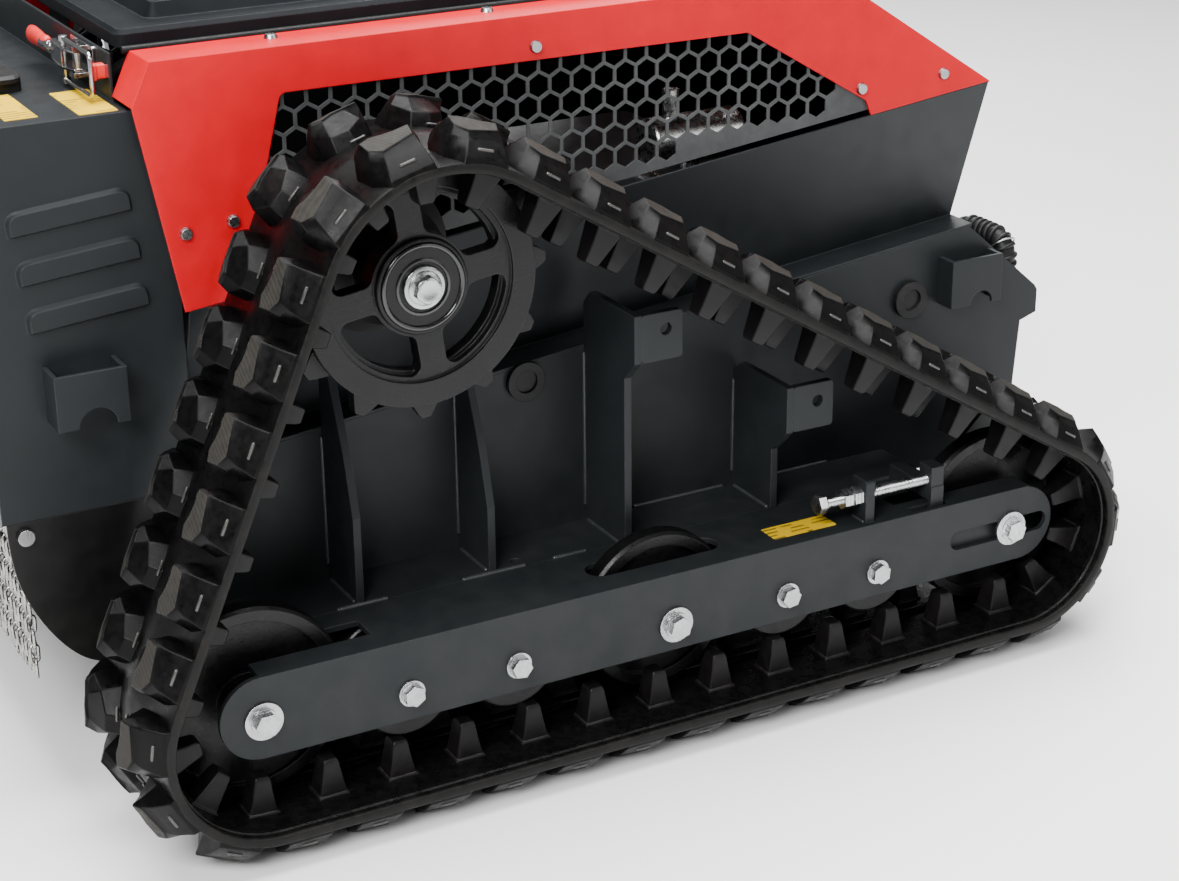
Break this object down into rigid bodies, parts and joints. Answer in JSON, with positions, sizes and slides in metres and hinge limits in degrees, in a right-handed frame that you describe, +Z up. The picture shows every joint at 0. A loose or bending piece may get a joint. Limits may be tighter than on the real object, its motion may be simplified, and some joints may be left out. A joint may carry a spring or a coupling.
{
  "type": "tracked tank chassis",
  "caption": "Self-propelled tracked carrier chassis: triangular rubber track on each side, hull with hinged lid, mesh side covers, louvred front housing and chain curtain.",
  "frame": {"origin": "on the ground, under the middle of the whole machine", "axes": "+X forward, +Y to the machine's left, +Z up"},
  "size_m": [1.198, 0.99, 0.76],
  "materials": {
    "track_rubber": "moulded track rubber, worn grey-brown on the lugs",
    "charcoal_paint": "charcoal powder coat, satin",
    "red_paint": "red powder coat, fine texture",
    "mesh_grey": "grey coated hexagonal mesh",
    "cast_black": "black painted casting, semi-gloss",
    "machined_steel": "turned steel",
    "zinc_fastener": "bright zinc plate",
    "motor_black": "black painted motor casing",
    "lid_black": "slate black, satin",
    "black_paint": "black paint, satin",
    "chrome_latch": "plated latch steel",
    "chain_steel": "dull galvanised chain",
    "black_rubber": "black rubber",
    "yellow_label": "yellow film, blank with plain bars",
    "black_plastic": "black moulded plastic",
    "engine_alloy": "cast alloy",
    "muffler_steel": "bright steel",
    "battery_case": "black plastic case"
  },
  "bodies": {
    "root": {"left_track_belt": "track_rubber", "right_track_belt": "track_rubber", "left_track_beam": "charcoal_paint", "right_track_beam": "charcoal_paint", "beam_brackets": "charcoal_paint", "bracket_gussets": "charcoal_paint", "lug_plates": "charcoal_paint", "hull_tub": "charcoal_paint", "left_side_flare": "charcoal_paint", "right_side_flare": "charcoal_paint", "front_housing": "charcoal_paint", "notch_brackets": "charcoal_paint", "left_side_cover": "red_paint", "right_side_cover": "red_paint", "left_grille": "mesh_grey", "right_grille": "mesh_grey", "axle_sleeves": "machined_steel", "curtain_rail": "machined_steel", "lid_hinges": "machined_steel", "axle_bolts": "zinc_fastener", "cover_screws": "zinc_fastener", "left_drive_motor": "motor_black", "right_drive_motor": "motor_black", "side_skirts": "black_paint", "latch_base": "chrome_latch", "hull_grommets": "black_rubber", "rear_loom": "black_rubber", "warning_labels": "yellow_label", "deck_handle": "black_plastic", "engine": "engine_alloy", "muffler": "muffler_steel", "battery_pack": "battery_case"},
    "left_sprocket": {"left_drive_sprocket": "cast_black", "left_drive_shaft": "machined_steel", "left_hub_bolt": "zinc_fastener"},
    "left_tensioner": {"left_tension_yoke": "charcoal_paint", "left_tensioner_bolts": "zinc_fastener"},
    "left_front_idler_body": {"left_front_idler": "cast_black"},
    "left_mid_wheel_body": {"left_mid_wheel": "cast_black"},
    "left_rear_idler_body": {"left_rear_idler": "cast_black"},
    "left_roller_1_body": {"left_roller_1": "cast_black"},
    "left_roller_2_body": {"left_roller_2": "cast_black"},
    "left_roller_3_body": {"left_roller_3": "cast_black"},
    "left_roller_4_body": {"left_roller_4": "cast_black"},
    "right_sprocket": {"right_drive_sprocket": "cast_black", "right_drive_shaft": "machined_steel", "right_hub_bolt": "zinc_fastener"},
    "right_tensioner": {"right_tension_yoke": "charcoal_paint", "right_tensioner_bolts": "zinc_fastener"},
    "right_front_idler_body": {"right_front_idler": "cast_black"},
    "right_mid_wheel_body": {"right_mid_wheel": "cast_black"},
    "right_rear_idler_body": {"right_rear_idler": "cast_black"},
    "right_roller_1_body": {"right_roller_1": "cast_black"},
    "right_roller_2_body": {"right_roller_2": "cast_black"},
    "right_roller_3_body": {"right_roller_3": "cast_black"},
    "right_roller_4_body": {"right_roller_4": "cast_black"},
    "lid_body": {"lid": "lid_black"},
    "latch_lever_body": {"latch_lever": "chrome_latch"},
    "latch_bail_body": {"latch_bail": "chrome_latch"},
    "curtain_body": {"chain_curtain": "chain_steel"}
  },
  "joints": [
    {"name": "left_sprocket_spin", "type": "hinge", "parent": "root", "child": "left_sprocket", "pos_m": [0.229, 0.403, 0.522], "axis": [0, 1, 0], "continuous": true},
    {"name": "left_tension_slide", "type": "slide", "parent": "root", "child": "left_tensioner", "axis": [1, 0, 0], "range_m": [0, 0.015]},
    {"name": "left_front_idler_spin", "type": "hinge", "parent": "root", "child": "left_front_idler_body", "pos_m": [0.419, 0.403, 0.14], "axis": [0, 1, 0], "continuous": true},
    {"name": "left_mid_wheel_spin", "type": "hinge", "parent": "root", "child": "left_mid_wheel_body", "pos_m": [-0.0233, 0.403, 0.1289], "axis": [0, 1, 0], "continuous": true},
    {"name": "left_rear_idler_spin", "type": "hinge", "parent": "left_tensioner", "child": "left_rear_idler_body", "pos_m": [-0.445, 0.403, 0.14], "axis": [0, 1, 0], "continuous": true},
    {"name": "left_roller_1_spin", "type": "hinge", "parent": "root", "child": "left_roller_1_body", "pos_m": [0.2692, 0.403, 0.1289], "axis": [0, 1, 0], "continuous": true},
    {"name": "left_roller_2_spin", "type": "hinge", "parent": "root", "child": "left_roller_2_body", "pos_m": [0.1546, 0.403, 0.1289], "axis": [0, 1, 0], "continuous": true},
    {"name": "left_roller_3_spin", "type": "hinge", "parent": "root", "child": "left_roller_3_body", "pos_m": [-0.1576, 0.403, 0.1289], "axis": [0, 1, 0], "continuous": true},
    {"name": "left_roller_4_spin", "type": "hinge", "parent": "root", "child": "left_roller_4_body", "pos_m": [-0.2705, 0.403, 0.1289], "axis": [0, 1, 0], "continuous": true},
    {"name": "right_sprocket_spin", "type": "hinge", "parent": "root", "child": "right_sprocket", "pos_m": [0.229, -0.403, 0.522], "axis": [0, 1, 0], "continuous": true},
    {"name": "right_tension_slide", "type": "slide", "parent": "root", "child": "right_tensioner", "axis": [1, 0, 0], "range_m": [0, 0.015]},
    {"name": "right_front_idler_spin", "type": "hinge", "parent": "root", "child": "right_front_idler_body", "pos_m": [0.419, -0.403, 0.14], "axis": [0, 1, 0], "continuous": true},
    {"name": "right_mid_wheel_spin", "type": "hinge", "parent": "root", "child": "right_mid_wheel_body", "pos_m": [-0.0233, -0.403, 0.1289], "axis": [0, 1, 0], "continuous": true},
    {"name": "right_rear_idler_spin", "type": "hinge", "parent": "right_tensioner", "child": "right_rear_idler_body", "pos_m": [-0.445, -0.403, 0.14], "axis": [0, 1, 0], "continuous": true},
    {"name": "right_roller_1_spin", "type": "hinge", "parent": "root", "child": "right_roller_1_body", "pos_m": [0.2692, -0.403, 0.1289], "axis": [0, 1, 0], "continuous": true},
    {"name": "right_roller_2_spin", "type": "hinge", "parent": "root", "child": "right_roller_2_body", "pos_m": [0.1546, -0.403, 0.1289], "axis": [0, 1, 0], "continuous": true},
    {"name": "right_roller_3_spin", "type": "hinge", "parent": "root", "child": "right_roller_3_body", "pos_m": [-0.1576, -0.403, 0.1289], "axis": [0, 1, 0], "continuous": true},
    {"name": "right_roller_4_spin", "type": "hinge", "parent": "root", "child": "right_roller_4_body", "pos_m": [-0.2705, -0.403, 0.1289], "axis": [0, 1, 0], "continuous": true},
    {"name": "lid_hinge", "type": "hinge", "parent": "root", "child": "lid_body", "pos_m": [-0.289, 0, 0.74], "axis": [0, -1, 0], "range_deg": [0, 75]},
    {"name": "latch_lever_hinge", "type": "hinge", "parent": "root", "child": "latch_lever_body", "pos_m": [0.46, 0.188, 0.711], "axis": [0, 0, 1], "range_deg": [0, 150]},
    {"name": "latch_bail_hinge", "type": "hinge", "parent": "latch_lever_body", "child": "latch_bail_body", "pos_m": [0.466, 0.168, 0.711], "axis": [0, 0, 1], "range_deg": [-180, 5]},
    {"name": "curtain_swing", "type": "hinge", "parent": "root", "child": "curtain_body", "pos_m": [0.579, 0, 0.298], "axis": [0, 1, 0], "range_deg": [-60, 60]}
  ],
  "couplings": [
    {"joint": "left_front_idler_spin", "follows": "left_sprocket_spin", "ratio": 1.2005},
    {"joint": "left_mid_wheel_spin", "follows": "left_sprocket_spin", "ratio": 1.5847},
    {"joint": "left_rear_idler_spin", "follows": "left_sprocket_spin", "ratio": 1.2005},
    {"joint": "left_roller_1_spin", "follows": "left_sprocket_spin", "ratio": 2.7378},
    {"joint": "left_roller_2_spin", "follows": "left_sprocket_spin", "ratio": 2.7378},
    {"joint": "left_roller_3_spin", "follows": "left_sprocket_spin", "ratio": 2.7378},
    {"joint": "left_roller_4_spin", "follows": "left_sprocket_spin", "ratio": 2.7378},
    {"joint": "right_front_idler_spin", "follows": "right_sprocket_spin", "ratio": 1.2005},
    {"joint": "right_mid_wheel_spin", "follows": "right_sprocket_spin", "ratio": 1.5847},
    {"joint": "right_rear_idler_spin", "follows": "right_sprocket_spin", "ratio": 1.2005},
    {"joint": "right_roller_1_spin", "follows": "right_sprocket_spin", "ratio": 2.7378},
    {"joint": "right_roller_2_spin", "follows": "right_sprocket_spin", "ratio": 2.7378},
    {"joint": "right_roller_3_spin", "follows": "right_sprocket_spin", "ratio": 2.7378},
    {"joint": "right_roller_4_spin", "follows": "right_sprocket_spin", "ratio": 2.7378},
    {"joint": "latch_bail_hinge", "follows": "latch_lever_hinge", "ratio": -1.15}
  ]
}
